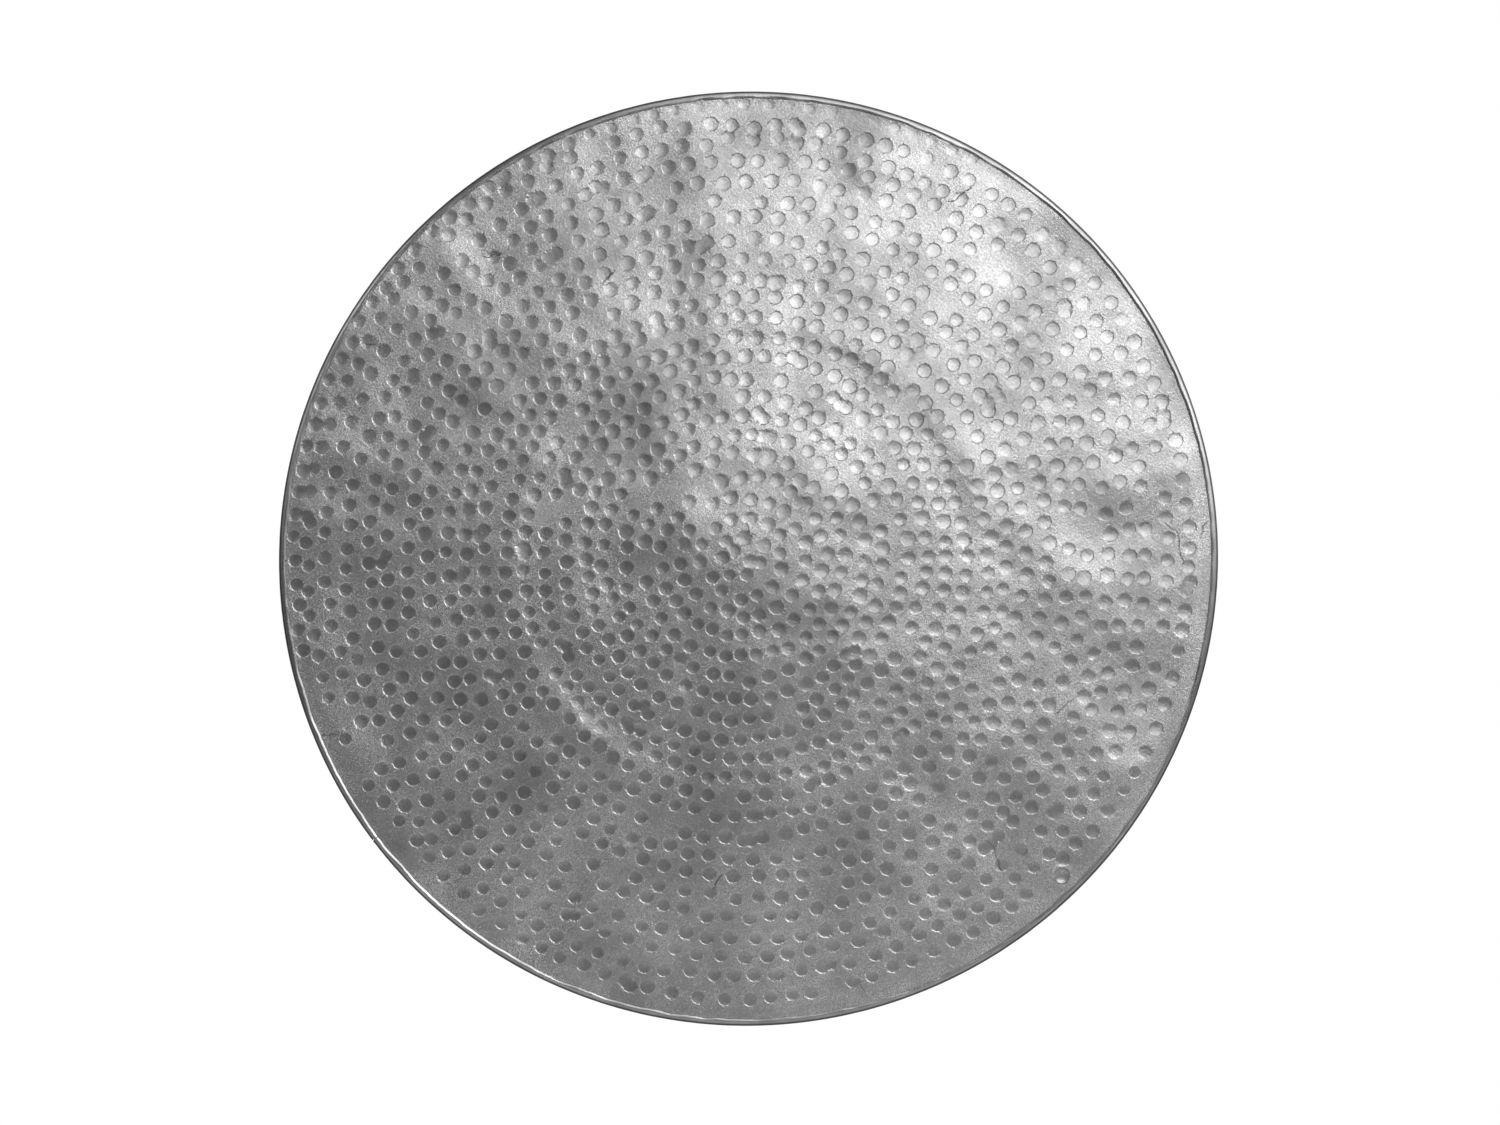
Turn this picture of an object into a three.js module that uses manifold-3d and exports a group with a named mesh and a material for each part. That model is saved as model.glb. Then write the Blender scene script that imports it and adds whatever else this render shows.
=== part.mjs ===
// Tam-tam: a hand-hammered sheet-metal gong, hung by two cord holes in its rim.
// Millimetres, +Z up, the struck face towards -Y. The origin is midway between the two cord holes.
//
// The dished plate is held in a folded seam at the front of the rim hoop. The hoop's strip runs back from
// the seam as a skirt and curls round a stiffening wire at its rear edge. The strip's ends meet in a butt
// joint, closed on the inside by a riveted strap. Two eyelets line the cord holes near the top.

import * as THREE from 'three';
import { mergeVertices } from 'three/addons/utils/BufferGeometryUtils.js';
import Module from 'manifold-3d';

const wasm = await Module();
wasm.setup();

// ---- Driving dimensions ----------------------------------------------------------------------------

const outerRadius = 350; // mean radius over the seam
const ovality = 1.25; // how much longer the long half-axis is than the mean radius
const ovalAngle = THREE.MathUtils.degToRad(22.4); // the long axis, up from +X
const plateSheet = 1.2; // thickness of the beaten plate
const rimSheet = 1.0; // thickness of the strip that the hoop is bent from
const clearance = 0.3; // between pieces that lie on each other

const rise = 25; // how far the middle of the plate stands in front of its edge
const noseRadius = 30; // how far out the rounded tip of the shallow cone reaches
const dishRadius = 341; // where the cone ends and the flat flange begins

const seamWidth = 5; // of the folded band seen from the front
const seamCorner = 1.8; // outside radius of the fold
const skirtInset = 2.4; // how far the skirt lies inside the seam's outer wall
const wireRadius = 2;
const curlCentreDepth = 36.7; // of the wire, behind the plate's front edge

const cordHoleAngle = THREE.MathUtils.degToRad(22); // each side of the top
const cordHoleDepth = 14; // behind the plate's front edge
const eyeletBore = 4.5; // radius, for a cord of about 6 mm

const jointAngle = THREE.MathUtils.degToRad(217); // where the strip's ends meet, from +X towards +Z
const jointGap = 0.6;
const strapLength = 40; // along the rim
const strapWidth = 24; // front to back
const rivetRadius = 1.6; // of the shank
const rivetSpacing = { along: 20, across: 13 };

const around = 80; // flat sides of every ring that turns about the gong's axis
const smallAround = 20; // flat sides of eyelets, washers and rivets

// ---- Sizes that follow -----------------------------------------------------------------------------

const plateRadius = outerRadius - rimSheet - clearance;
const lipFront = -(clearance + rimSheet);
const shoulderFront = plateSheet + clearance;
const shoulderBack = shoulderFront + rimSheet;
const skirtOuter = outerRadius - skirtInset;
const skirtInner = skirtOuter - rimSheet;
const curlInner = wireRadius + clearance;
const curlOuter = curlInner + rimSheet;
const curlCentreRadius = skirtOuter - curlOuter;
const skirtFlatsInner = skirtInner * Math.cos(Math.PI / around); // nearest point of the skirt's flats
const liningOuter = skirtFlatsInner - clearance; // for pieces that lie against the skirt's inside
const headBase = skirtOuter + clearance; // for heads and flanges that lie on the skirt's outside
const holeClearance = 0.3; // between a shank or barrel and the hole round it

// ---- Materials -------------------------------------------------------------------------------------

const metal = (color, roughness) => new THREE.MeshStandardMaterial({ color, roughness, metalness: 1 });
const hammeredPlate = metal(0xa8a8a6, 0.36);
const foldedStrip = metal(0x8f8f8e, 0.4);
const drawnWire = metal(0x77797a, 0.5);
const platedEyelet = metal(0xb4b2ac, 0.28);
const softRivet = metal(0x9c9c9a, 0.42);

// ---- Helpers ---------------------------------------------------------------------------------------

// A solid of revolution about Y from [radius, depth] points; it closes on itself, or on the axis.
function turned(section, sides) {
  const onAxis = section[0][0] === 0;
  const outline = onAxis ? section : [...section, section[0]];
  return new THREE.LatheGeometry(outline.map(([radius, depth]) => new THREE.Vector2(radius, depth)), sides);
}

// Points of an arc about [radius, depth], by angle in degrees from the outward direction to the rear.
function arc(centre, size, degrees) {
  return degrees.map(THREE.MathUtils.degToRad).map((angle) => [
    centre[0] + size * Math.cos(angle),
    centre[1] + size * Math.sin(angle),
  ]);
}

// The unit vector from the gong's axis to a place on the rim, by angle from +X towards +Z.
const outward = (angle) => new THREE.Vector3(Math.cos(angle), 0, Math.sin(angle));

// Turns a piece made along +Y so that it points outwards through the rim at that angle and depth.
function radialMatrix(angle, depth) {
  const turn = new THREE.Quaternion().setFromUnitVectors(new THREE.Vector3(0, 1, 0), outward(angle));
  return new THREE.Matrix4().compose(new THREE.Vector3(0, depth, 0), turn, new THREE.Vector3(1, 1, 1));
}

function toManifold(geometry, matrix = new THREE.Matrix4()) {
  const bare = geometry.clone().applyMatrix4(matrix);
  bare.deleteAttribute('normal');
  bare.deleteAttribute('uv');
  const merged = mergeVertices(bare, 1e-4);
  return new wasm.Manifold(new wasm.Mesh({
    numProp: 3,
    vertProperties: merged.attributes.position.array,
    triVerts: Uint32Array.from(merged.index.array),
  }));
}

// The geometry with each of the cutters, given as [geometry, matrix], taken away.
function cut(geometry, cutters) {
  const left = cutters.reduce((body, [tool, matrix]) => body.subtract(toManifold(tool, matrix)),
    toManifold(geometry));
  const { vertProperties, triVerts } = left.getMesh();
  const result = new THREE.BufferGeometry();
  result.setAttribute('position', new THREE.BufferAttribute(vertProperties, 3));
  result.setIndex(new THREE.BufferAttribute(triVerts, 1));
  result.computeVertexNormals();
  return result;
}

// A drill that crosses the rim outwards at an angle and depth.
function drill(radius, angle, depth) {
  const length = 20;
  const tool = new THREE.CylinderGeometry(radius, radius, length, smallAround);
  tool.translate(0, (skirtInner + skirtOuter) / 2, 0);
  return [tool, radialMatrix(angle, depth)];
}

// ---- Places of the small pieces --------------------------------------------------------------------

const topAngle = Math.PI / 2;
const cordHoles = [
  { side: 'left', angle: topAngle + cordHoleAngle },
  { side: 'right', angle: topAngle - cordHoleAngle },
];
const strapCentreDepth = (shoulderBack + curlCentreDepth - curlOuter) / 2;
const rivetPlaces = [-1, 1].flatMap((along) => [-1, 1].map((across) => ({
  angle: jointAngle + (along * rivetSpacing.along) / 2 / skirtOuter,
  depth: strapCentreDepth + (across * rivetSpacing.across) / 2,
})));
const rivetDrills = rivetPlaces.map(({ angle, depth }) => drill(rivetRadius + holeClearance, angle, depth));

// ---- The plate -------------------------------------------------------------------------------------

// Depth of the plate's front: a shallow cone with a rounded tip, flat beyond the dish.
function plateFront(radius) {
  const reach = (r) => Math.hypot(r, noseRadius) - noseRadius;
  return -rise * Math.max(0, 1 - reach(radius) / reach(dishRadius));
}

function gongPlate() {
  const rings = [0, 20, 45, 80, 130, 185, 240, 295, dishRadius, plateRadius]; // closer where it curves
  const front = rings.map((radius) => [radius, plateFront(radius)]);
  const back = rings.map((radius) => [radius, plateFront(radius) + plateSheet]).reverse();
  return turned([...front, ...back], around);
}

// ---- The rim ---------------------------------------------------------------------------------------

// The hoop's strip in section: lip over the plate, fold, shoulder behind the plate, skirt, and rear curl.
function hoopSection() {
  const foldCentre = [outerRadius - seamCorner, lipFront + seamCorner];
  const curlCentre = [curlCentreRadius, curlCentreDepth];
  const curlDegrees = [0, 15, 45, 75, 105, 135, 165, 195, 225, 255, 285];
  const lipRadius = outerRadius - seamWidth;
  const edgeBreak = 0.5; // the shoulder's dressed corner
  return [
    [lipRadius, lipFront],
    ...arc(foldCentre, seamCorner, [-90, -60, -30, 0]),
    [outerRadius, shoulderBack - edgeBreak],
    [outerRadius - edgeBreak, shoulderBack],
    [skirtOuter, shoulderBack],
    ...arc(curlCentre, curlOuter, curlDegrees),
    ...arc(curlCentre, curlInner, [...curlDegrees].reverse()),
    [skirtInner, shoulderFront],
    [outerRadius - rimSheet, shoulderFront],
    ...arc(foldCentre, seamCorner - rimSheet, [0, -30, -60, -90]),
    [lipRadius, -clearance],
  ];
}

function rimHoop() {
  const slitReach = 30; // through the strip, and wide of it on both sides
  const slitDepth = 80; // front to back
  const slit = new THREE.BoxGeometry(jointGap, slitReach, slitDepth);
  slit.translate(0, skirtInner, 0);
  return cut(turned(hoopSection(), around), [
    [slit, radialMatrix(jointAngle, curlCentreDepth / 2)],
    ...rivetDrills,
    ...cordHoles.map(({ angle }) => drill(barrelRadius + holeClearance, angle, cordHoleDepth)),
  ]);
}

function rimWire() {
  const degrees = Array.from({ length: 12 }, (_, step) => step * 30);
  return turned(arc([curlCentreRadius, curlCentreDepth], wireRadius, degrees), around);
}

// A curved strap inside the skirt, behind the butt joint.
function jointStrap() {
  const halfAngle = strapLength / 2 / liningOuter;
  const plan = new THREE.Shape();
  plan.absarc(0, 0, liningOuter, jointAngle - halfAngle, jointAngle + halfAngle, false);
  plan.absarc(0, 0, liningOuter - rimSheet, jointAngle + halfAngle, jointAngle - halfAngle, true);
  const strap = new THREE.ExtrudeGeometry(plan, { depth: strapWidth, bevelEnabled: false, curveSegments: 6 });
  strap.rotateX(Math.PI / 2);
  strap.translate(0, strapCentreDepth + strapWidth / 2, 0);
  return cut(strap, rivetDrills);
}

// A round-headed rivet along +Y: the formed tail inside the strap, the head outside the skirt.
function strapRivet() {
  const headRadius = 3.2;
  const headHeight = 1.4;
  const tailRadius = 2.6;
  const tailHeight = 1.1;
  const tailBase = liningOuter - rimSheet - clearance;
  const dome = [0, 30, 60].map(THREE.MathUtils.degToRad).map((angle) => [
    headRadius * Math.cos(angle),
    headBase + headHeight * Math.sin(angle),
  ]);
  return turned([
    [0, tailBase - tailHeight],
    [tailRadius, tailBase - tailHeight],
    [tailRadius, tailBase],
    [rivetRadius, tailBase],
    [rivetRadius, headBase],
    ...dome,
    [0, headBase + headHeight],
  ], smallAround);
}

// ---- The cord holes' lining ------------------------------------------------------------------------

const barrelRadius = eyeletBore + 0.7;
const eyeletSheet = 1.0;
const washerOuter = 8.5;
const washerThickness = 0.8;

// An eyelet along +Y: flange outside, barrel through the skirt, and its end spread over the washer.
function hangEyelet() {
  const throatBreak = 0.4;
  const flangeTop = headBase + eyeletSheet;
  const spreadTop = liningOuter - washerThickness - clearance;
  const spreadBottom = spreadTop - eyeletSheet;
  const spreadRadius = 7.5;
  return turned([
    [eyeletBore, spreadBottom + throatBreak],
    [eyeletBore + throatBreak, spreadBottom],
    [spreadRadius, spreadBottom],
    [spreadRadius, spreadTop],
    [barrelRadius, spreadTop],
    [barrelRadius, headBase],
    [washerOuter, headBase],
    [washerOuter, flangeTop - throatBreak],
    [washerOuter - throatBreak, flangeTop],
    [eyeletBore + throatBreak, flangeTop],
    [eyeletBore, flangeTop - throatBreak],
  ], smallAround);
}

function eyeletWasher() {
  const inner = barrelRadius + holeClearance;
  return turned([
    [inner, liningOuter - washerThickness],
    [washerOuter, liningOuter - washerThickness],
    [washerOuter, liningOuter],
    [inner, liningOuter],
  ], smallAround);
}

// ---- Assembly --------------------------------------------------------------------------------------

// The whole gong is slightly oval: stretched along one diameter and narrowed across it.
const longAxis = new THREE.Group();
longAxis.rotation.y = ovalAngle;
const stretch = new THREE.Group();
stretch.scale.set(1 + ovality / outerRadius, 1, 1 - ovality / outerRadius);
stretch.add(longAxis);
const ovalGong = new THREE.Group();
ovalGong.rotation.y = -ovalAngle;
ovalGong.add(stretch);

function place(name, geometry, material, matrix) {
  const piece = new THREE.Mesh(geometry, material);
  piece.name = name;
  if (matrix) piece.applyMatrix4(matrix);
  longAxis.add(piece);
}

place('gong_plate', gongPlate(), hammeredPlate);
place('rim_hoop', rimHoop(), foldedStrip);
place('rim_wire', rimWire(), drawnWire);
place('joint_strap', jointStrap(), foldedStrip);
rivetPlaces.forEach(({ angle, depth }, index) => {
  place(`strap_rivet_${index + 1}`, strapRivet(), softRivet, radialMatrix(angle, depth));
});
cordHoles.forEach(({ side, angle }) => {
  place(`hang_eyelet_${side}`, hangEyelet(), platedEyelet, radialMatrix(angle, cordHoleDepth));
  place(`eyelet_washer_${side}`, eyeletWasher(), platedEyelet, radialMatrix(angle, cordHoleDepth));
});

// The origin goes midway between the cord holes, at the middle of the skirt's thickness.
ovalGong.updateMatrixWorld();
const hangRadius = ((skirtInner + skirtOuter) / 2) * Math.cos(cordHoleAngle);
const hangPoint = new THREE.Vector3(0, cordHoleDepth, hangRadius).applyMatrix4(longAxis.matrixWorld);
ovalGong.position.sub(hangPoint);

const tamTam = new THREE.Group();
tamTam.add(ovalGong);

export default tamTam;
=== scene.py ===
# %% [markdown]
# # A hammered tam-tam
# A tam-tam is a large, nearly flat gong. This one is beaten out of white metal sheet: a shallow cone,
# covered with the round marks of a ball-peen hammer, held in a folded seam at the front of a narrow rim.
# The rim's strip runs back as a skirt, curls round a wire at its rear edge, and carries two eyelets that
# the hanging cords go through. The working model already gives every piece its size and place, so this
# notebook starts by loading it, and then makes each piece again with the surface that the hand gave it.

# %% Load the working model
import math
import random

import bpy
import numpy as np
from mathutils import Matrix, Vector, noise
from mathutils.geometry import delaunay_2d_cdt


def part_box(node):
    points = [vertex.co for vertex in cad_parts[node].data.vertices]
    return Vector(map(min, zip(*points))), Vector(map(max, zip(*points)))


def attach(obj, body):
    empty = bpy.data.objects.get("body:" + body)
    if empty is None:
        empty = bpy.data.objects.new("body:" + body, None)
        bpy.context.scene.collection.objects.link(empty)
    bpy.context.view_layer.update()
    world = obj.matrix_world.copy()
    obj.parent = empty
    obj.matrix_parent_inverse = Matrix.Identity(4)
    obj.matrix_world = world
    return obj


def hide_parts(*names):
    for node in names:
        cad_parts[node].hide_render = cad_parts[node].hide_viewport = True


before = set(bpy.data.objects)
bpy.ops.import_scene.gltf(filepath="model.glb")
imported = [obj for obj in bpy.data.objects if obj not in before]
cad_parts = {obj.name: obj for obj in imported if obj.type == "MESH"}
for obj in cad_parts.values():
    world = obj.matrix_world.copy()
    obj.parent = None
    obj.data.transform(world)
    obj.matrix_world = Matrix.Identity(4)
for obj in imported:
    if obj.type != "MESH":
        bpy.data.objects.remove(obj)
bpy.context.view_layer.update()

print("nodes in the working model:", ", ".join(sorted(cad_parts)))

# %% [markdown]
# ## Sizes
# It is easiest to model a gong in millimetres, round its own axis, as if it were truly round. The last
# step for every piece is then one matrix, which makes millimetres into metres, stretches the gong by the
# small amount that this one is out of round, and carries it to its place. The depth of a point is how far
# it lies behind the front edge of the plate, so the face has negative depths.

# %% Sizes of the gong, in millimetres
MM = 0.001
plate_low, plate_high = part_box("gong_plate")
hoop_low, hoop_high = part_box("rim_hoop")
PLATE_SHEET = 1.2
RIM_SHEET = 1.0
CLEARANCE = 0.3
OUTER_RADIUS = (hoop_high.x - hoop_low.x + hoop_high.z - hoop_low.z) / 4 / MM
PLATE_RADIUS = OUTER_RADIUS - RIM_SHEET - CLEARANCE
RISE = (plate_high.y - plate_low.y) / MM - PLATE_SHEET
NOSE_RADIUS = 30.0
DISH_RADIUS = 341.0
OVALITY = 1.25 / OUTER_RADIUS
OVAL_ANGLE = math.radians(22.4)
centre = Vector(((hoop_low.x + hoop_high.x) / 2, plate_high.y - PLATE_SHEET * MM,
                 (hoop_low.z + hoop_high.z) / 2))

long_way, cross_way = OVALITY * math.cos(2 * OVAL_ANGLE), OVALITY * math.sin(2 * OVAL_ANGLE)
stretch = Matrix(((1 + long_way, 0, cross_way), (0, 1, 0), (cross_way, 0, 1 - long_way)))
PLACE = Matrix.Translation(centre) @ stretch.to_4x4() @ Matrix.Scale(MM, 4)
print(f"radius {OUTER_RADIUS:.2f} mm, rise {RISE:.2f} mm, centre {tuple(round(v, 4) for v in centre)}")

# %% [markdown]
# ## The camera
# The gong is seen square on from a few metres away, with a long lens, so that the rim hides the skirt
# behind it. The picture is 1.6 discs wide, and the disc hangs a hair above and to the left of its middle.

# %% Place the camera
CAMERA_DISTANCE = 3.0
VIEW_WIDTH = 1.6008 * 2 * OUTER_RADIUS * MM
camera_data = bpy.data.cameras.new("camera")
camera = bpy.data.objects.new("camera", camera_data)
bpy.context.scene.collection.objects.link(camera)
camera.location = centre + Vector((1.1, 0, -2.85)) * MM - Vector((0, CAMERA_DISTANCE, 0))
camera.rotation_euler = (math.pi / 2, 0, 0)
camera_data.lens = camera_data.sensor_width * CAMERA_DISTANCE / VIEW_WIDTH
bpy.context.scene.camera = camera
print(f"lens {camera_data.lens:.1f} mm at {CAMERA_DISTANCE} m")

# %% [markdown]
# ## Working by hand, in code
# A few short helpers stand for what a hand does at the screen: drawing an outline by extruding one point
# after another, spinning it about an axis, and seating the finished piece in the working model.

# %% Helpers for modelling
def deselect_all():
    bpy.ops.object.select_all(action="DESELECT")


def draw_path(points):
    """Draws a chain of edges through the points, starting from a plane that is merged to one vertex."""
    deselect_all()
    bpy.ops.mesh.primitive_plane_add(size=1)
    bpy.ops.object.mode_set(mode="EDIT")
    bpy.ops.mesh.merge(type="CENTER")
    bpy.ops.transform.translate(value=points[0])
    for last, point in zip(points, points[1:]):
        step = Vector(point) - Vector(last)
        bpy.ops.mesh.extrude_region_move(TRANSFORM_OT_translate={"value": step})
    return bpy.context.object


def spin(steps, axis=(0, 1, 0), angle=math.tau):
    """Spins everything in edit mode about an axis through the origin, and closes it."""
    bpy.ops.mesh.select_all(action="SELECT")
    bpy.ops.mesh.spin(steps=steps, angle=angle, center=(0, 0, 0), axis=axis)
    bpy.ops.mesh.select_all(action="SELECT")
    bpy.ops.mesh.remove_doubles(threshold=0.005)
    bpy.ops.mesh.normals_make_consistent(inside=False)
    bpy.ops.object.mode_set(mode="OBJECT")


def apply_modifier(piece, kind, **settings):
    bpy.context.view_layer.objects.active = piece
    modifier = piece.modifiers.new(kind.title(), kind)
    for key, value in settings.items():
        setattr(modifier, key, value)
    bpy.ops.object.modifier_apply(modifier=modifier.name)


def smooth(piece, degrees):
    deselect_all()
    piece.select_set(True)
    bpy.context.view_layer.objects.active = piece
    bpy.ops.object.shade_smooth_by_angle(angle=math.radians(degrees))


def seat(piece, name, material, slot, *nodes, turn=Matrix()):
    """Carries a finished piece from the round gong in millimetres to its place in the frame."""
    piece.name = piece.data.name = name
    piece.data.transform(PLACE @ turn)
    piece.data.materials.clear()
    piece.data.materials.append(material)
    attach(piece, "root")
    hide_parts(*nodes)
    triangles = sum(len(face.vertices) - 2 for face in piece.data.polygons)
    assert triangles, f"{name} came out empty"
    print(f"{name}: {triangles} triangles")


def read_points(mesh):
    points = np.empty(len(mesh.vertices) * 3)
    mesh.vertices.foreach_get("co", points)
    return points.reshape(-1, 3)


def write_points(mesh, points):
    mesh.vertices.foreach_set("co", points.ravel())
    mesh.update()


# %% Helpers for materials
def linear(hex_colour):
    """An sRGB hex colour as the linear RGBA that the shaders use."""
    parts = [int(hex_colour[i:i + 2], 16) / 255 for i in (1, 3, 5)]
    return [p / 12.92 if p <= 0.04045 else ((p + 0.055) / 1.055) ** 2.4 for p in parts] + [1.0]


def add_node(tree, kind, inputs=None, **settings):
    """Adds a node, sets its properties, and fills its inputs with values or with other nodes' outputs."""
    node = tree.nodes.new(kind)
    for key, value in settings.items():
        setattr(node, key, value)
    for key, value in (inputs or {}).items():
        if isinstance(value, bpy.types.NodeSocket):
            tree.links.new(value, node.inputs[key])
        else:
            node.inputs[key].default_value = value
    return node


def new_metal(name):
    """A material with an empty node tree but for its output and a metal's shader."""
    material = bpy.data.materials.new(name)
    material.use_nodes = True
    tree = material.node_tree
    tree.nodes.clear()
    shader = add_node(tree, "ShaderNodeBsdfPrincipled", {"Metallic": 1.0})
    add_node(tree, "ShaderNodeOutputMaterial", {"Surface": shader.outputs["BSDF"]})
    return material, tree, shader


# %% [markdown]
# ## Hammered white metal
# The plate is soft white metal sheet, beaten cold and left as the hammer and the wire brush left it. It
# mirrors the room as broad soft patches, because its surface is satin and not polished. Two scales
# matter to the eye: a fine brushed grain that runs round the disc, and larger stains where years of
# handling have dulled it. The grain is finer in the bottoms of the hammer marks, which the ball burnished.

# %% Material: hammered white metal
def polar_noise(tree, round_scale, radial_scale, detail=3.0, roughness=0.6):
    """Noise stretched along the circles round the disc's centre, or along its spokes, with no seam."""
    spot = add_node(tree, "ShaderNodeTexCoord").outputs["Object"]
    arm = add_node(tree, "ShaderNodeVectorMath", {0: spot, 1: centre}, operation="SUBTRACT").outputs[0]
    flat = add_node(tree, "ShaderNodeVectorMath", {0: arm, 1: (1, 0, 1)}, operation="MULTIPLY").outputs[0]
    length = add_node(tree, "ShaderNodeVectorMath", {0: flat}, operation="LENGTH").outputs["Value"]
    way = add_node(tree, "ShaderNodeVectorMath", {0: flat}, operation="NORMALIZE").outputs[0]
    way = add_node(tree, "ShaderNodeVectorMath", {0: way, "Scale": round_scale}, operation="SCALE").outputs[0]
    out = add_node(tree, "ShaderNodeMath", {0: length, 1: radial_scale}, operation="MULTIPLY").outputs[0]
    out = add_node(tree, "ShaderNodeCombineXYZ", {"Y": out}).outputs[0]
    both = add_node(tree, "ShaderNodeVectorMath", {0: way, 1: out}, operation="ADD").outputs[0]
    return add_node(tree, "ShaderNodeTexNoise",
                    {"Vector": both, "Scale": 1.0, "Detail": detail, "Roughness": roughness}).outputs["Fac"]


def spot_noise(tree, size_mm, detail=3.0, roughness=0.6):
    """Noise with features of about the given size in every direction."""
    spot = add_node(tree, "ShaderNodeTexCoord").outputs["Object"]
    return add_node(tree, "ShaderNodeTexNoise",
                    {"Vector": spot, "Scale": 1 / (size_mm * MM), "Detail": detail,
                     "Roughness": roughness}).outputs["Fac"]


def brush_noise(tree, turn_degrees, length_mm, width_mm):
    """Noise drawn out into straight hairlines that lie at an angle to the horizontal."""
    spot = add_node(tree, "ShaderNodeTexCoord").outputs["Object"]
    lines = add_node(tree, "ShaderNodeMapping",
                     {"Vector": spot, "Rotation": (0, math.radians(turn_degrees), 0),
                      "Scale": (length_mm * MM, length_mm * MM, width_mm * MM)}, vector_type="TEXTURE")
    return add_node(tree, "ShaderNodeTexNoise",
                    {"Vector": lines.outputs[0], "Scale": 1.0, "Detail": 3.0}).outputs["Fac"]


def remap(tree, value, low, high, new_low, new_high):
    return add_node(tree, "ShaderNodeMapRange",
                    {"Value": value, "From Min": low, "From Max": high,
                     "To Min": new_low, "To Max": new_high}).outputs["Result"]


def blend_colours(tree, factor, first, second):
    mix = add_node(tree, "ShaderNodeMix", {"Factor": factor}, data_type="RGBA")
    for socket, colour in zip((6, 7), (first, second)):
        if isinstance(colour, bpy.types.NodeSocket):
            tree.links.new(colour, mix.inputs[socket])
        else:
            mix.inputs[socket].default_value = colour
    return mix.outputs[2]


def math_node(tree, operation, *values):
    return add_node(tree, "ShaderNodeMath", dict(enumerate(values)), operation=operation).outputs[0]


def bump(tree, height, strength_mm, under=None):
    inputs = {"Height": height, "Distance": strength_mm * MM, "Strength": 1.0}
    if under:
        inputs["Normal"] = under
    return add_node(tree, "ShaderNodeBump", inputs).outputs["Normal"]


hammered_metal, tree, shader = new_metal("hammered_white_metal")
stains = spot_noise(tree, 60, detail=6)
specks = spot_noise(tree, 1.6, detail=4, roughness=0.75)
flecks = spot_noise(tree, 5, detail=6, roughness=0.8)
rubbed = polar_noise(tree, 9, 420, detail=4)
brushed = brush_noise(tree, 40, 30, 1.2)
struck = add_node(tree, "ShaderNodeAttribute", attribute_name="struck").outputs["Fac"]
tarnish = math_node(tree, "ADD", remap(tree, stains, 0.35, 0.65, -0.25, 0.4),
                    remap(tree, specks, 0.3, 0.7, 0.0, 0.6))
tarnish = math_node(tree, "MULTIPLY_ADD", struck, 0.12, tarnish)
colour = blend_colours(tree, tarnish, linear("#dadada"), linear("#949494"))
colour = blend_colours(tree, remap(tree, flecks, 0.62, 0.7, 0, 0.5), colour, linear("#5c5c5c"))
tree.links.new(colour, shader.inputs["Base Color"])
dullness = math_node(tree, "ADD", remap(tree, stains, 0.3, 0.7, 0.25, 0.31),
                     remap(tree, specks, 0.3, 0.7, -0.04, 0.04))
in_mark = remap(tree, struck, 0.0, 1.0, 0.0, 1.0)
dullness = math_node(tree, "MULTIPLY_ADD", in_mark, 0.02, dullness)
tree.links.new(dullness, shader.inputs["Roughness"])
unstruck = remap(tree, struck, 0.0, 1.0, 1.0, 0.5)
rough_height = math_node(tree, "MULTIPLY", math_node(tree, "SUBTRACT", specks, 0.5), unstruck)
grain = bump(tree, rough_height, 0.38)
grain = bump(tree, rubbed, 0.06, grain)
grain = bump(tree, brushed, 0.08, grain)
tree.links.new(grain, shader.inputs["Normal"])
print("made", hammered_metal.name)

# %% [markdown]
# ## The hammer marks
# The smith works round the disc in circles, one blow beside the last. The circles are 15 mm apart. The
# first ones are a few millimetres off the disc's centre, and the last ones follow its edge. Near the
# middle the blows are closer and heavier. A machine would place them evenly, so each one is nudged, and a
# few are missed or struck twice. A ball peen leaves a shallow round cup: 11 mm wide and under a
# millimetre deep. The outermost circle was struck on the upper left only, with some light blows at the
# top, and one blow at the lower right slipped and went three times as deep.

# %% Lay out the hammer marks
CIRCLE_STEP = 14.9
CIRCLE_CENTRE = (-4.5, 1.5)
LAST_CIRCLE = 23
MARK_RADIUS = 5.6
SLIP_ANGLE = math.radians(-45.5)
SLIP_RADIUS = 334.0
hand = random.Random(7)


def ramp(value, low, high):
    """0 below low, 1 above high, and an even slope that eases in and out between them."""
    t = np.clip((np.asarray(value, float) - low) / (high - low), 0, 1)
    return t * t * (3 - 2 * t)


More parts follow.
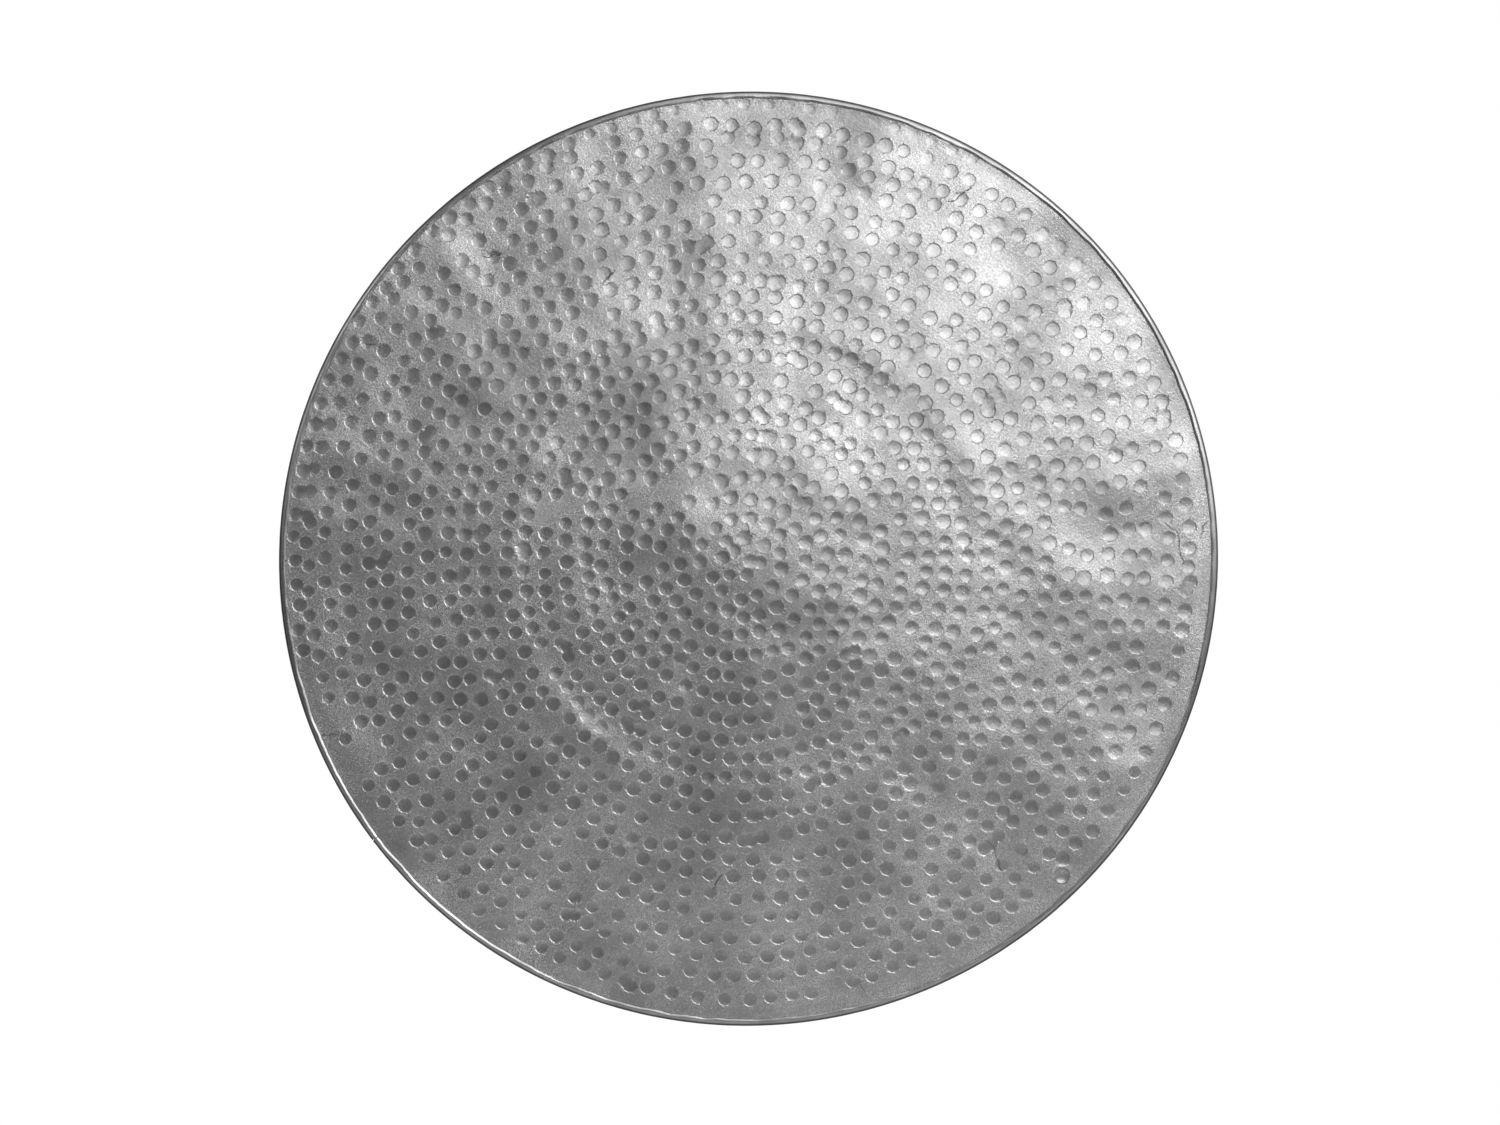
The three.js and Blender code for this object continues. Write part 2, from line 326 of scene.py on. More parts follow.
def lay_marks():
    marks = [(1.5, -2.0, MARK_RADIUS, 0.8), (-11.0, 6.0, MARK_RADIUS, 0.7)]
    for circle in range(1, LAST_CIRCLE + 1):
        radius = circle * CIRCLE_STEP
        outward = float(ramp(radius, 130, 270))
        count = round(math.tau * radius / (13.6 + 3.6 * outward))
        steps = [hand.uniform(0.82, 1.18) for _ in range(count)]
        turn = hand.uniform(0, math.tau)
        sway = [(hand.uniform(0.4, 1.3), hand.uniform(0, math.tau), lobes) for lobes in (2, 3, 5, 11)]
        for step in steps:
            turn += math.tau * step / sum(steps)
            if hand.random() < 0.025:
                continue
            out = radius + hand.gauss(0, 1.0) + sum(a * math.sin(k * turn + p) for a, p, k in sway)
            depth = (0.62 - 0.1 * outward) * hand.choice((0.5, 0.8, 0.9, 0.95, 1.0, 1.05, 1.1, 1.15))
            size = MARK_RADIUS * hand.uniform(0.9, 1.08)
            degrees = math.degrees(turn) % 360
            if circle == LAST_CIRCLE:
                out -= 3.2
                if 60 < degrees < 112:
                    size, depth = 0.8 * size, 0.4 * depth
                elif not 112 <= degrees < 194:
                    continue
            spots = [(out, turn)]
            if hand.random() < 0.03:
                spots.append((out + hand.uniform(-4, 4), turn + hand.uniform(3, 6) / radius))
            astray = 1 - radius / 360
            for r, a in spots:
                marks.append((CIRCLE_CENTRE[0] * astray + r * math.cos(a),
                              CIRCLE_CENTRE[1] * astray + r * math.sin(a), size, depth))
    limit = DISH_RADIUS + 3
    return [m for m in marks if math.hypot(m[0], m[1]) < limit]


marks = lay_marks()
marks.append((SLIP_RADIUS * math.cos(SLIP_ANGLE), SLIP_RADIUS * math.sin(SLIP_ANGLE), 6.2, 1.9))
print(len(marks), "hammer marks")

# %% [markdown]
# ## Cracks and pits
# Sheet that is beaten cold goes hard, and in the end it cracks a little between the blows. The cracks are
# short, open and zigzag. There are pits too, where scale or dirt was hammered in and fell out again: most
# lie anywhere on the sheet, and a few are crowded along the right edge.

# %% Lay out the cracks and pits
# Angle up from the right and radius where each starts, the way it runs, and its length in millimetres.
CRACK_STARTS = [(202.5, 343, 24, 19), (4.6, 312, -52, 36), (-51, 300, 130, 26), (228, 326, 75, 12),
                (118, 232, 50, 16), (-24, 263, 215, 17), (95, 26, -30, 14), (61, 305, 40, 22),
                (131, 300, 15, 15), (-96, 248, 60, 14), (3, 338, 80, 14), (207, 247, 200, 12),
                (186, 170, 10, 10), (-75, 334, 95, 10), (150, 322, 160, 9)]
CRACK_STEP = 1.3
LOOSE_PITS, EDGE_PITS = 46, 12


def lay_cracks():
    cracks = []
    for degrees, radius, way, length in CRACK_STARTS:
        spot = Vector((radius * math.cos(math.radians(degrees)), radius * math.sin(math.radians(degrees))))
        line, heading = [spot], math.radians(way)
        for _ in range(int(length / CRACK_STEP)):
            heading += hand.uniform(-0.6, 0.6) + 0.35 * (math.radians(way) - heading)
            spot = spot + CRACK_STEP * Vector((math.cos(heading), math.sin(heading)))
            line.append(spot)
        cracks.append(line)
    return cracks


def lay_pits():
    pits = []
    for _ in range(LOOSE_PITS):
        radius, turn = 335 * math.sqrt(hand.random()), hand.uniform(0, math.tau)
        pits.append((radius * math.cos(turn), radius * math.sin(turn), hand.uniform(0.45, 0.8)))
    for _ in range(EDGE_PITS):
        turn = math.radians(hand.uniform(2, 22))
        radius = hand.uniform(337, 342)
        pits.append((radius * math.cos(turn), radius * math.sin(turn), hand.uniform(0.4, 0.7)))
    return pits


cracks, pits = lay_cracks(), lay_pits()
print(len(cracks), "cracks and", len(pits), "pits")

# %% [markdown]
# ## The shape of the plate
# Three things are added up at each point of the sheet. The first is the shallow cone of the working
# model. The second is what the beating did to it: a raised ring halfway out, where the smith changed to
# lighter blows, and long buckles that run in from the edge. The third is the marks: each takes the sheet
# back by the shape of the ball that struck it, and where two overlap the deeper one wins.

# %% How deep the sheet lies
RING_RADIUS = 178.0


def dish_depth(radius):
    reach = np.hypot(radius, NOSE_RADIUS) - NOSE_RADIUS
    full = math.hypot(DISH_RADIUS, NOSE_RADIUS) - NOSE_RADIUS
    return -RISE * np.maximum(0, 1 - reach / full)


# Buckles: angle up from the right in degrees, radius, width round the disc, length outwards, height.
BUCKLES = [
    (97, 275, 20, 80, 0.9), (110, 280, 24, 75, -1.0), (131, 300, 15, 45, -1.1), (143, 300, 17, 45, 0.9),
    (166, 285, 20, 60, 0.9), (177, 215, 15, 35, 0.7), (190, 300, 22, 50, -0.5), (212, 290, 24, 60, 0.5),
    (228, 320, 20, 30, -0.5), (245, 270, 11, 50, 0.8), (262, 310, 22, 40, -0.5), (279, 300, 18, 40, 0.5),
    (297, 262, 18, 40, 1.0), (307, 287, 14, 42, 0.9), (314, 335, 12, 18, 0.6), (331, 312, 16, 40, 1.1),
    (343, 280, 14, 40, -0.7), (356, 277, 14, 45, 0.8), (12, 300, 13, 40, 0.7), (30, 290, 30, 50, 0.5),
    (226, 88, 28, 22, 0.7), (272, 105, 24, 20, 0.6), (318, 118, 22, 22, 0.5), (150, 110, 24, 24, 0.5),
]


def beaten_depth(x, z):
    radius, angle = np.hypot(x, z), np.arctan2(z, x)
    ring = 0.72 + 0.35 * np.cos(2 * angle - 1.2) + 0.15 * np.sin(5 * angle)
    depth = -0.75 * ring * np.exp(-((radius - RING_RADIUS) / 11) ** 2)
    depth += 0.5 * ring * np.exp(-((radius - RING_RADIUS + 21) / 12) ** 2)
    for degrees, out, wide, long, height in BUCKLES:
        turn = (angle - math.radians(degrees) + math.pi) % math.tau - math.pi
        across = turn * np.maximum(radius, 60) / (wide * (0.4 + 0.6 * radius / OUTER_RADIUS))
        depth -= height * np.exp(-across ** 2 - ((radius - out) / long) ** 2)
    return depth * (1 - ramp(radius, 325, 344))


def uneven_depth(x, z):
    """The sheet is never quite fair between the blows: gentle dips a few marks wide."""
    spots = zip(x.tolist(), z.tolist())
    dips = np.array([1.3 * noise.noise((a / 62, 2.3, b / 62)) + 0.75 * noise.noise((a / 30, 7.1, b / 30))
                     + 0.2 * noise.noise((a / 13, 4.7, b / 13)) for a, b in spots])
    radius, angle = np.hypot(x, z), np.arctan2(z, x)
    streaks = np.array([noise.noise((7 * math.cos(t), r / 150, 7 * math.sin(t)))
                        for t, r in zip(angle.tolist(), radius.tolist())])
    return (dips + 1.1 * ramp(radius, 120, 300) * streaks) * (1 - ramp(radius, 330, 343))


def proud_lip(angle):
    """Where round the rim, in degrees, the lip still stands proud of the sheet: 0 flush, 1 and more proud."""
    angle = np.asarray(angle) % 360
    upper = 0.8 * ramp(angle, 8, 17) * (1 - ramp(angle, 44, 56))
    left = ramp(angle, 190, 200) * (1 - ramp(angle, 238, 248))
    bottom = 0.4 * ramp(angle, 244, 252) * (1 - ramp(angle, 286, 300))
    right = 1.5 * ramp(angle, 303, 312) * (1 - ramp(angle, 340, 350))
    return np.maximum.reduce((upper, left, bottom, right))


def flange_depth(x, z):
    """Near the seam the sheet swells forward, and along most of it it was beaten flush with the lip."""
    radius = np.hypot(x, z)
    swell = 0.85 - 0.25 * proud_lip(np.degrees(np.arctan2(z, x)))
    return -swell * ramp(radius, 292, 341) * (1 - ramp(radius, 344.6, 345.6))


def struck_depth(x, z):
    """The depth of the marks, and where each point lies: 1 inside a mark, below 0 on the metal round it."""
    depth = np.zeros(len(x))
    inside = np.zeros(len(x))
    round_it = np.zeros(len(x))
    for mx, mz, size, deep in marks:
        near = np.nonzero((abs(x - mx) < 1.7 * size) & (abs(z - mz) < 1.7 * size))[0]
        out = np.hypot(x[near] - mx, z[near] - mz) / size
        cup = deep * np.maximum(0, 1 - 0.45 * out ** 2 - 0.55 * out ** 10)
        pushed_up = 0.14 * deep * np.exp(-((out - 1.1) / 0.25) ** 2)
        depth[near] = np.where(cup > 0.01, np.maximum(depth[near], cup), depth[near] - pushed_up)
        inside[near] = np.maximum(inside[near], np.clip((1 - out) * 8, 0, 1))
        round_it[near] = np.maximum(round_it[near], np.clip((1.5 - out) * 2.5, 0, 1))
    seam = ramp(np.hypot(x, z), 343.5, 346)
    return depth * (1 - seam), inside - 0.5 * round_it * (inside == 0)


def broken_depth(x, z):
    """Narrow grooves along the cracks, and the pits."""
    depth = np.zeros(len(x))
    for line in cracks:
        for spot in line:
            near = np.hypot(x - spot.x, z - spot.y) < 0.3
            depth[near] = 0.9
    for px, pz, size in pits:
        near = np.hypot(x - px, z - pz) < 0.5 * size
        depth[near] = 0.8
    return depth


# %% [markdown]
# ## The hammered plate
# A grid fine enough to hold fifteen hundred crisp marks would need millions of faces. So the points go
# where the shape needs them: a centre and four rings of points for each mark, one of them exactly on its
# rim, so that the rim stays sharp, three rows along each crack, and a loose scatter between them. Where a
# point would come too close to an earlier one it is left out, so the rings that matter most go first. One
# triangulation joins them all and the depths are applied. The back follows the same depths one sheet
# further back, with fewer points, because each cup shows there as a soft bump. The front's edge is
# extruded back to meet it, and the two skins are joined into one closed sheet.

# %% Make the hammered plate
# Rings of points for each mark: distance from its middle in mark radii, and number of points.
FRONT_RINGS = [(1.0, 15), (0.0, 1), (0.87, 12), (0.52, 6), (1.2, 9)]
BACK_RINGS = [(1.05, 7), (0.0, 1), (0.55, 3)]
FRONT_SPACING, BACK_SPACING = 4.2, 6.0
EDGE_POINTS = 360
SEAM_ROWS = (343.6, 344.5, 345.1, 345.7)
SEAM_POINTS = 479
CRISP_DEGREES = 10.5  # a mark's rim bends the surface by more than this, and the soft bottom by less


class Scatter:
    """Collects points, and turns away any that comes too close to one that is already there."""

    def __init__(self, cell=3.0):
        self.cell, self.grid, self.points = cell, {}, []

    def offer(self, x, z, gap):
        if math.hypot(x, z) > PLATE_RADIUS - 1.5:
            return
        column, row = int(x // self.cell), int(z // self.cell)
        for i in (column - 1, column, column + 1):
            for j in (row - 1, row, row + 1):
                if any((x - a) ** 2 + (z - b) ** 2 < gap * gap for a, b in self.grid.get((i, j), ())):
                    return
        self.grid.setdefault((column, row), []).append((x, z))
        self.points.append((x, z))


def offer_breaks(scatter):
    for line in cracks:
        for spot, after in zip(line, line[1:]):
            side = 0.5 * (after - spot).orthogonal().normalized()
            for point in (spot, spot + side, spot - side):
                scatter.offer(point.x, point.y, 0.3)
    for x, z, size in pits:
        scatter.offer(x, z, 0.3)
        for turn in np.linspace(0, math.tau, 7)[:-1]:
            scatter.offer(x + size * math.cos(turn), z + size * math.sin(turn), 0.3)


def offer_marks(scatter, rings, spacing):
    for out, count in rings:
        for x, z, size, deep in marks:
            start = hand.uniform(0, math.tau)
            for step in range(count):
                turn = start + math.tau * step / count
                scatter.offer(x + out * size * math.cos(turn), z + out * size * math.sin(turn), 0.6)
    cells = int(PLATE_RADIUS / spacing) + 1
    for i in range(-cells, cells + 1):
        for j in range(-cells, cells + 1):
            x, z = (i + hand.uniform(-0.3, 0.3)) * spacing, (j + hand.uniform(-0.3, 0.3)) * spacing
            scatter.offer(x, z, 0.55 * spacing)


def make_skin(name, scatter, sheet_back):
    """One skin of the sheet through the scattered points, set back by the sheet's thickness or not."""
    edge = [(PLATE_RADIUS * math.cos(a), PLATE_RADIUS * math.sin(a))
            for a in np.linspace(0, math.tau, EDGE_POINTS + 1)[:-1]]
    flat, _, faces, *_ = delaunay_2d_cdt([Vector(p) for p in scatter.points + edge], [], [], 0, 1e-5)
    x, z = np.array([p.x for p in flat]), np.array([p.y for p in flat])
    cups, inside = struck_depth(x, z)
    depth = dish_depth(np.hypot(x, z)) + beaten_depth(x, z) + uneven_depth(x, z) + flange_depth(x, z)
    depth += cups + sheet_back
    if sheet_back:
        inside *= 0
    else:
        depth += broken_depth(x, z)
    depth = np.maximum(depth, sheet_back - RISE)
    mesh = bpy.data.meshes.new(name)
    mesh.from_pydata(np.column_stack((x, depth, z)).tolist(), [], faces)
    mesh.attributes.new("struck", "FLOAT", "POINT").data.foreach_set("value", inside)
    skin = bpy.data.objects.new(name, mesh)
    bpy.context.scene.collection.objects.link(skin)
    return skin


front_points = Scatter()
offer_breaks(front_points)
for radius in SEAM_ROWS:
    for turn in np.linspace(0, math.tau, SEAM_POINTS + 1)[:-1]:
        front_points.offer(radius * math.cos(turn), radius * math.sin(turn), 0.5)
offer_marks(front_points, FRONT_RINGS, FRONT_SPACING)
plate = make_skin("hammered_plate", front_points, 0)
smooth(plate, CRISP_DEGREES)
bpy.ops.object.mode_set(mode="EDIT")
bpy.ops.mesh.select_all(action="DESELECT")
bpy.ops.mesh.select_non_manifold()
bpy.ops.mesh.extrude_edges_move(TRANSFORM_OT_translate={"value": (0, PLATE_SHEET, 0)})
bpy.ops.object.mode_set(mode="OBJECT")

back_points = Scatter()
offer_marks(back_points, BACK_RINGS, BACK_SPACING)
back = make_skin("plate_back", back_points, PLATE_SHEET)
smooth(back, 35)
plate.select_set(True)
bpy.context.view_layer.objects.active = plate
bpy.ops.object.join()
bpy.ops.object.mode_set(mode="EDIT")
bpy.ops.mesh.select_all(action="SELECT")
bpy.ops.mesh.remove_doubles(threshold=0.001)
bpy.ops.mesh.normals_make_consistent(inside=False)
bpy.ops.mesh.select_all(action="DESELECT")
bpy.ops.mesh.select_non_manifold()
bpy.ops.object.mode_set(mode="OBJECT")
print("open edges:", sum(edge.select for edge in plate.data.edges))
seat(plate, "hammered_plate", hammered_metal, "hammered_plate", "gong_plate")

# %% [markdown]
# ## The planished rim strip
# The rim is bent from a plain strip of the same metal. It was planished: tapped all over with a flat
# hammer, which leaves it nearly smooth, with faint flats and the drag lines of the folding tools. The
# outer turn of its fold is rougher, and there its colour is painted dark: painted shade that draws the
# dark outline round the rim.

# %% Material: planished strip
planished_metal, tree, shader = new_metal("planished_strip")
stains = spot_noise(tree, 30, detail=5)
drag = polar_noise(tree, 10, 1500, detail=2)
specks = spot_noise(tree, 1.6, detail=3, roughness=0.7)
colour = blend_colours(tree, remap(tree, stains, 0.3, 0.7, 0, 1), linear("#d0d0d0"), linear("#a6a6a6"))
# The outer turn of the fold is painted dark here: painted shade for the rim's dark outline. It is also made
# rougher.
painted_rim_shade = add_node(tree, "ShaderNodeAttribute", attribute_name="painted_rim_shade").outputs["Fac"]
colour = blend_colours(tree, painted_rim_shade, colour, linear("#5e5e5e"))
tree.links.new(colour, shader.inputs["Base Color"])
dullness = math_node(tree, "MULTIPLY_ADD", painted_rim_shade, 0.15, remap(tree, stains, 0.3, 0.7, 0.24, 0.34))
tree.links.new(dullness, shader.inputs["Roughness"])
tree.links.new(bump(tree, specks, 0.08, bump(tree, drag, 0.05)), shader.inputs["Normal"])
print("made", planished_metal.name)

# %% [markdown]
# ## The rim hoop
# The strip is drawn as a line in section: its lip over the plate's edge, the fold, the shoulder that
# holds the plate from behind, the skirt, and the curl round the wire. Spinning the line about the gong's
# axis gives the hoop, stopping just short of a full turn, where the strip's ends meet. Solidify makes the
# line a strip 1 mm thick. A boolean then drills the holes for the eyelets and rivets.

# %% Make the rim hoop
SEAM_WIDTH = 5.0
SKIRT_INSET = 2.4
WIRE_RADIUS = 2.0
CURL_DEPTH = 36.7
REST_DEPTH = 39.86  # the curl's rear is worn flat here, where the gong lies when it isn't hung
JOINT_ANGLE = math.radians(217)
JOINT_GAP = 0.6
skirt_middle = OUTER_RADIUS - SKIRT_INSET - RIM_SHEET / 2
curl_middle = WIRE_RADIUS + CLEARANCE + RIM_SHEET / 2
curl_radius = skirt_middle - curl_middle


def arc(middle, size, start, end, count):
    """Points of an arc in the section plane; angles in degrees from the outward way to the rear."""
    return [(middle[0] + size * math.cos(math.radians(a)), middle[1] + size * math.sin(math.radians(a)), 0)
            for a in np.linspace(start, end, count)]


def hoop_line():
    half = RIM_SHEET / 2
    lip_depth = -CLEARANCE - half
    fold_radius = 1.6
    fold = arc((OUTER_RADIUS - half - fold_radius, lip_depth + fold_radius), fold_radius, -85, 0, 8)
    shoulder_depth = PLATE_SHEET + CLEARANCE + half
    corner = 0.55
    shoulder = arc((OUTER_RADIUS - half - corner, shoulder_depth - corner), corner, 0, 90, 4)
    inside = arc((skirt_middle + corner, shoulder_depth + corner), corner, 270, 180, 4)
    lip = [(OUTER_RADIUS - SEAM_WIDTH + step, lip_depth, 0) for step in (0, 0.2, 0.5, 1.0, 1.6, 2.2)]
    skirt = [(skirt_middle, d, 0) for d in np.linspace(5, CURL_DEPTH - 2, 8)]
    curl = arc((curl_radius, CURL_DEPTH), curl_middle, 0, 285, 20)
    return lip + fold + shoulder + inside + skirt + curl


hoop = draw_path(hoop_line())
spin(540, angle=math.tau - JOINT_GAP / OUTER_RADIUS)
hoop.data.transform(Matrix.Rotation(-JOINT_ANGLE, 4, "Y"))
apply_modifier(hoop, "SOLIDIFY", thickness=RIM_SHEET, offset=0.0, use_even_offset=True)
print("strip drawn and spun:", len(hoop.data.polygons), "faces")

# %% [markdown]
# A folded seam is dressed down with a hammer. The lip's free edge ends up thin and rounded, and wanders
# by half a millimetre. Along some stretches it still stands proud of the sheet. The skirt is not fair
# either: it has the slow waves of a strip bent by hand. These are moved vertex by vertex, as if sculpted.

# %% Dress the hoop
hoop_points = read_points(hoop.data)
turn = np.arctan2(hoop_points[:, 2], hoop_points[:, 0])
out = np.hypot(hoop_points[:, 0], hoop_points[:, 2])


def round_noise(turns, frequency, row):
    """Noise that runs round the rim without a seam; the frequency is in features per radian."""
    return np.array([noise.noise((frequency * math.cos(t), row, frequency * math.sin(t)))
                     for t in turns.tolist()])


lip_front = (hoop_points[:, 1] < -CLEARANCE - 0.6) & (out < OUTER_RADIUS - 1.9)
proud = proud_lip(np.degrees(turn))
edge_run = np.clip((OUTER_RADIUS - 3.2 - out) / 1.8, 0, 1)
thin = 0.75 - 0.35 * proud
feathered = -CLEARANCE - RIM_SHEET + (RIM_SHEET - thin) * edge_run ** 1.2
hoop_points[lip_front, 1] = feathered[lip_front]
ahead = np.clip((-CLEARANCE - hoop_points[:, 1]) / RIM_SHEET, 0, 1)
hoop_points[:, 1] += 0.32 * ahead * np.clip(out - OUTER_RADIUS + 3.2, 0, 2.4)
front = 1 - ramp(hoop_points[:, 1], 0.2, 1.4)
free_edge = front * (1 - ramp(out, OUTER_RADIUS - SEAM_WIDTH + 0.6, OUTER_RADIUS - 2.2))
wander = round_noise(turn, 26, 5.0) + 0.6 * round_noise(turn, 70, 9.0)
taps = round_noise(turn, 45, 2.0)
slow = round_noise(turn, 3, 1.0)
shift = free_edge * (0.7 * wander - 0.1) - 0.12 * np.abs(taps) * front + 0.35 * (slow - 0.5) * (1 - front)
hoop_points[:, 0] += np.cos(turn) * shift
hoop_points[:, 2] += np.sin(turn) * shift
hoop_points[:, 1] += 0.12 * front * taps + 0.2 * free_edge * wander
hoop_points[:, 1] = np.minimum(hoop_points[:, 1], REST_DEPTH)
write_points(hoop.data, hoop_points)
# Painted shade: this marks the outer turn of the fold at the front, which the strip's material paints dark.
painted_rim_shade = ramp(out, OUTER_RADIUS - 2.2, OUTER_RADIUS - 1.0) * (1 - ramp(hoop_points[:, 1], 0.5, 2.5))
hoop.data.attributes.new("painted_rim_shade", "FLOAT", "POINT").data.foreach_set("value", painted_rim_shade)


def stand_out(piece, angle, depth):
    """Turns a piece made along +Y so that it points outwards through the rim."""
    outward = Vector((math.cos(angle), 0, math.sin(angle)))
    turned = Vector((0, 1, 0)).rotation_difference(outward).to_matrix().to_4x4()
    piece.data.transform(Matrix.Translation((0, depth, 0)) @ turned)


def drill(piece, radius, places):
    """Drills round holes that cross the rim outwards at each angle and depth."""
    for angle, depth in places:
        deselect_all()
        bpy.ops.mesh.primitive_cylinder_add(vertices=32, radius=radius, depth=16)
        tool = bpy.context.object
        tool.data.transform(Matrix.Translation((0, skirt_middle, 0)) @ Matrix.Rotation(math.pi / 2, 4, "X"))
        stand_out(tool, angle, depth)
        apply_modifier(piece, "BOOLEAN", object=tool, operation="DIFFERENCE", solver="EXACT")
        bpy.data.objects.remove(tool)


CORD_HOLE_ANGLE = math.radians(22)
CORD_HOLE_DEPTH = 14.0
HOLE_CLEARANCE = 0.3
BARREL_RADIUS = 5.2
RIVET_RADIUS = 1.6
STRAP_LENGTH, STRAP_WIDTH = 40.0, 24.0
RIVET_SPACING = (20.0, 13.0)
strap_depth = (PLATE_SHEET + CLEARANCE + RIM_SHEET + CURL_DEPTH - WIRE_RADIUS - CLEARANCE - RIM_SHEET) / 2
cord_holes = {"left": (math.pi / 2 + CORD_HOLE_ANGLE, CORD_HOLE_DEPTH),
              "right": (math.pi / 2 - CORD_HOLE_ANGLE, CORD_HOLE_DEPTH)}
rivet_places = [(JOINT_ANGLE + along * RIVET_SPACING[0] / 2 / (OUTER_RADIUS - SKIRT_INSET),
                 strap_depth + across * RIVET_SPACING[1] / 2) for along in (-1, 1) for across in (-1, 1)]
drill(hoop, BARREL_RADIUS + HOLE_CLEARANCE, cord_holes.values())
drill(hoop, RIVET_RADIUS + HOLE_CLEARANCE, rivet_places)
smooth(hoop, 40)
seat(hoop, "rim_strip", planished_metal, "folded_strip", "rim_hoop")

# %% [markdown]
# ## The wire in the curl
# The curl at the rear edge is closed round a plain drawn wire, which stiffens the rim. The wire's ends
# meet with a hair's gap, away from the joint of the strip. Drawing leaves fine dark lines along it.

# %% Material: drawn steel wire
drawn_steel, tree, shader = new_metal("drawn_steel_wire")
lines = polar_noise(tree, 3, 4000, detail=2)
rust = spot_noise(tree, 18, detail=5)
colour = blend_colours(tree, remap(tree, lines, 0.35, 0.65, 0, 1), linear("#878787"), linear("#6a6a6a"))
colour = blend_colours(tree, remap(tree, rust, 0.6, 0.75, 0, 0.6), colour, linear("#55504b"))
tree.links.new(colour, shader.inputs["Base Color"])
tree.links.new(remap(tree, rust, 0.4, 0.7, 0.38, 0.6), shader.inputs["Roughness"])
tree.links.new(bump(tree, lines, 0.03), shader.inputs["Normal"])
print("made", drawn_steel.name)

# %% Make the wire
WIRE_ENDS_ANGLE = math.radians(32)
deselect_all()
bpy.ops.mesh.primitive_circle_add(vertices=14, radius=WIRE_RADIUS, location=(curl_radius, CURL_DEPTH, 0))
wire = bpy.context.object
wire.data.transform(wire.matrix_basis)
wire.matrix_basis = Matrix()
bpy.ops.object.mode_set(mode="EDIT")
spin(240, angle=math.tau - 0.4 / OUTER_RADIUS)
bpy.ops.object.mode_set(mode="EDIT")
bpy.ops.mesh.select_all(action="SELECT")
bpy.ops.mesh.fill_holes(sides=0)
bpy.ops.mesh.normals_make_consistent(inside=False)
bpy.ops.object.mode_set(mode="OBJECT")
smooth(wire, 40)
seat(wire, "curl_wire", drawn_steel, "drawn_wire", "rim_wire", turn=Matrix.Rotation(-WIRE_ENDS_ANGLE, 4, "Y"))

# %% [markdown]
# ## The strap and its rivets
# The strip's ends only meet, so a short strap of the same strip is riveted across them from the inside.
# The rivets are soft and have round heads outside; their tails are spread flat inside by a few blows.
# Each blow leaves a small facet, so a head glints in patches and not as one round highlight.

# %% Make the joint strap
lining_radius = (OUTER_RADIUS - SKIRT_INSET - RIM_SHEET) * math.cos(math.pi / 80) - CLEARANCE
strap_middle = lining_radius - RIM_SHEET / 2
half_width = STRAP_WIDTH / 2
strap = draw_path([(strap_middle, strap_depth + d, 0) for d in np.linspace(-half_width, half_width, 13)])
spin(24, angle=STRAP_LENGTH / lining_radius)
strap.data.transform(Matrix.Rotation(-JOINT_ANGLE + STRAP_LENGTH / lining_radius / 2, 4, "Y"))
apply_modifier(strap, "SOLIDIFY", thickness=RIM_SHEET, offset=0.0)
apply_modifier(strap, "BEVEL", width=0.25, segments=2, limit_method="ANGLE")
drill(strap, RIVET_RADIUS + HOLE_CLEARANCE, rivet_places)
smooth(strap, 35)
seat(strap, "joint_strap_dressed", planished_metal, "folded_strip", "joint_strap")

# %% Material: soft rivet
soft_metal, tree, shader = new_metal("hammered_soft_rivet")
blows = spot_noise(tree, 1.4, detail=2)
colour = blend_colours(tree, remap(tree, blows, 0.35, 0.65, 0, 1), linear("#b4b4b4"), linear("#868686"))
tree.links.new(colour, shader.inputs["Base Color"])
tree.links.new(remap(tree, blows, 0.35, 0.65, 0.3, 0.46), shader.inputs["Roughness"])
tree.links.new(bump(tree, blows, 0.15), shader.inputs["Normal"])
print("made", soft_metal.name)

# %% Make the rivets
head_base = OUTER_RADIUS - SKIRT_INSET + CLEARANCE
tail_base = lining_radius - RIM_SHEET - CLEARANCE


def rivet_line():
    head_radius, head_height, tail_radius, tail_height = 3.2, 1.4, 2.6, 1.1
    dome = [(head_radius * math.cos(a), head_base + 0.15 + (head_height - 0.15) * math.sin(a), 0)
            for a in np.linspace(0, math.pi / 2, 8)]
    tail = [(0, tail_base - tail_height + 0.1, 0), (1.6, tail_base - tail_height, 0),
            (tail_radius - 0.2, tail_base - tail_height + 0.2, 0), (tail_radius, tail_base - 0.5, 0),
            (tail_radius - 0.1, tail_base, 0), (RIVET_RADIUS, tail_base, 0)]
    return tail + [(RIVET_RADIUS, head_base, 0), (head_radius - 0.1, head_base, 0)] + dome


rivet = draw_path(rivet_line())
spin(28)
for number, (angle, depth) in enumerate(rivet_places, 1):
    copy = bpy.data.objects.new(f"rivet_{number}", rivet.data.copy())
    bpy.context.scene.collection.objects.link(copy)
    stand_out(copy, angle, depth)
    smooth(copy, 40)
    seat(copy, f"rivet_{number}", soft_metal, "soft_rivet", f"strap_rivet_{number}")
bpy.data.objects.remove(rivet)

# %% [markdown]
# ## The eyelets
# Bare holes in thin strip would saw through a cord, so each is lined with a brass eyelet, plated with
# nickel. Its flange is rolled smooth outside, and its barrel is spread inside over a thin washer. The
# plating is brighter and smoother than the strip, and yellow brass shows where the cord has worn it off.

# %% Material: nickel-plated brass
plated_brass, tree, shader = new_metal("nickel_plated_brass")
wear = spot_noise(tree, 2.5, detail=4)
colour = blend_colours(tree, remap(tree, wear, 0.55, 0.72, 0, 1), linear("#c9c6bf"), linear("#b39a6a"))
tree.links.new(colour, shader.inputs["Base Color"])
tree.links.new(remap(tree, wear, 0.3, 0.7, 0.18, 0.34), shader.inputs["Roughness"])
print("made", plated_brass.name)

